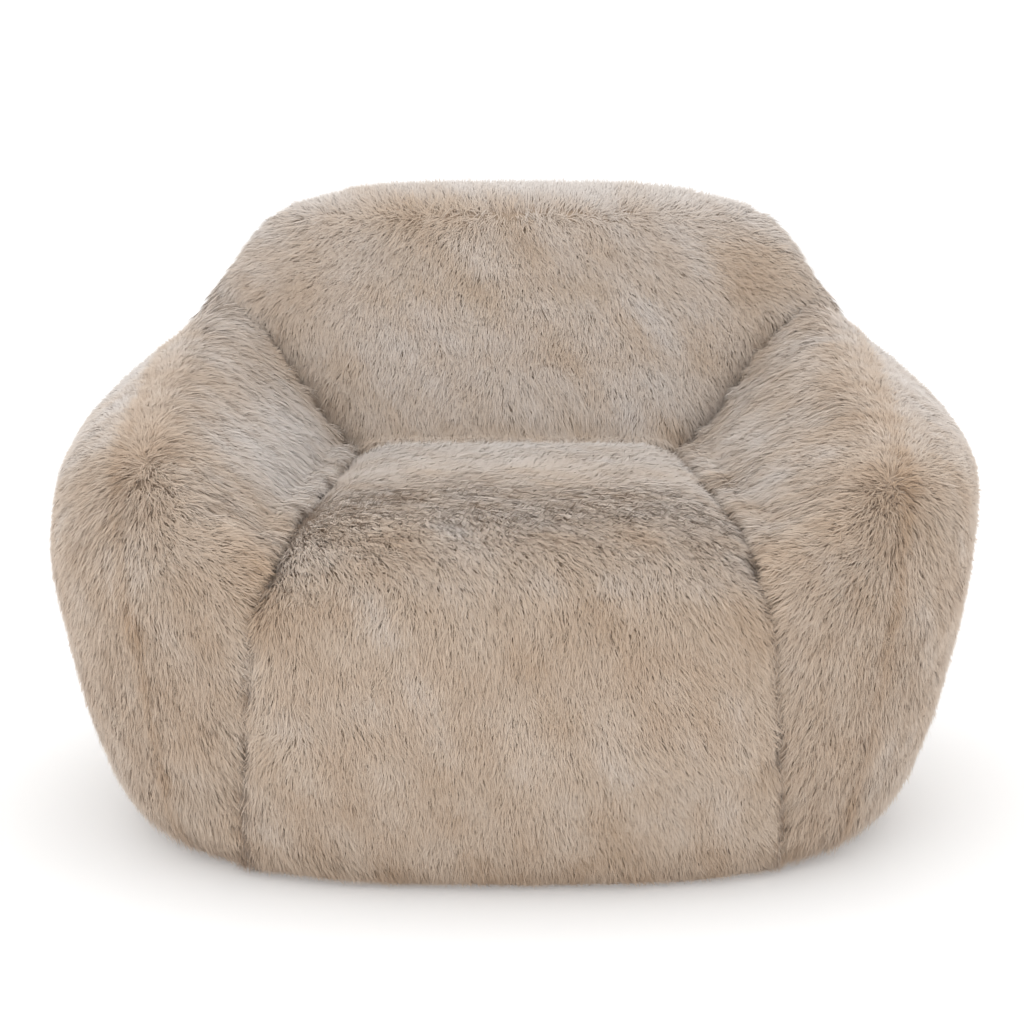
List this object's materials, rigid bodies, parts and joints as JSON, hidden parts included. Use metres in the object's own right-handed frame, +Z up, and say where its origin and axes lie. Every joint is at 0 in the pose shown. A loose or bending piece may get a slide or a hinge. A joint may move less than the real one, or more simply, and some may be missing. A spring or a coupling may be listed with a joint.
{
  "type": "bean bag chair",
  "caption": "Low lounge chair of soft stuffed bags in one long-pile faux fur cover, with a wide seat, sloping arms, a reclined back and a zip behind.",
  "frame": {"origin": "on the floor, under the middle of the chair", "axes": "+X to the right as seen from the front, +Y to the rear, +Z up"},
  "size_m": [1.101, 0.9354, 0.72],
  "materials": {
    "fur": "matte",
    "base_fabric": "matte",
    "liner_fabric": "matte",
    "bead_fill": "matte",
    "zip_tape": "matte",
    "zip_teeth": "satin",
    "zip_metal": "satin",
    "liner_tape": "matte"
  },
  "bodies": {
    "chair": {"seat_front_cover": "fur", "inside_back_cover": "fur", "arm_cover_right": "fur", "arm_cover_left": "fur", "side_cover_right": "fur", "side_cover_left": "fur", "outside_back_right": "fur", "outside_back_left": "fur", "base_panel": "base_fabric", "zip_tape_right": "zip_tape", "zip_tape_left": "zip_tape", "zip_teeth_right": "zip_teeth", "zip_teeth_left": "zip_teeth", "zip_top_stop": "zip_teeth", "zip_bottom_stop": "zip_teeth", "seat_liner": "liner_fabric", "seat_fill": "bead_fill", "seat_zip_tapes": "liner_tape", "seat_zip_teeth": "liner_tape", "back_liner": "liner_fabric", "back_fill": "bead_fill", "back_zip_tapes": "liner_tape", "back_zip_teeth": "liner_tape", "arm_liner_left": "liner_fabric", "arm_fill_left": "bead_fill", "arm_zip_tapes_left": "liner_tape", "arm_zip_teeth_left": "liner_tape", "arm_liner_right": "liner_fabric", "arm_fill_right": "bead_fill", "arm_zip_tapes_right": "liner_tape", "arm_zip_teeth_right": "liner_tape"},
    "zip_slider": {"zip_slider": "zip_metal"},
    "zip_pull": {"zip_pull": "zip_metal"},
    "seat_zip_slider": {"seat_zip_slider": "zip_metal"},
    "back_zip_slider": {"back_zip_slider": "zip_metal"},
    "arm_zip_slider_left": {"arm_zip_slider_left": "zip_metal"},
    "arm_zip_slider_right": {"arm_zip_slider_right": "zip_metal"}
  },
  "joints": [
    {"name": "zip_run", "type": "slide", "parent": "chair", "child": "zip_slider", "axis": [0, 0, -1], "range_m": [0, 0.311]},
    {"name": "pull_swing", "type": "hinge", "parent": "zip_slider", "child": "zip_pull", "pos_m": [0, 0.4529, 0.4905], "axis": [1, 0, 0], "range_deg": [0, 165]},
    {"name": "seat_refill_zip_run", "type": "slide", "parent": "chair", "child": "seat_zip_slider", "axis": [-1, 0, 0], "range_m": [0, 0.231]},
    {"name": "back_refill_zip_run", "type": "slide", "parent": "chair", "child": "back_zip_slider", "axis": [-1, 0, 0], "range_m": [0, 0.231]},
    {"name": "arm_left_refill_zip_run", "type": "slide", "parent": "chair", "child": "arm_zip_slider_left", "axis": [-0.1224, -0.9924, 0.0122], "range_m": [0, 0.231]},
    {"name": "arm_right_refill_zip_run", "type": "slide", "parent": "chair", "child": "arm_zip_slider_right", "axis": [0.1224, -0.9924, 0.0122], "range_m": [0, 0.231]}
  ]
}
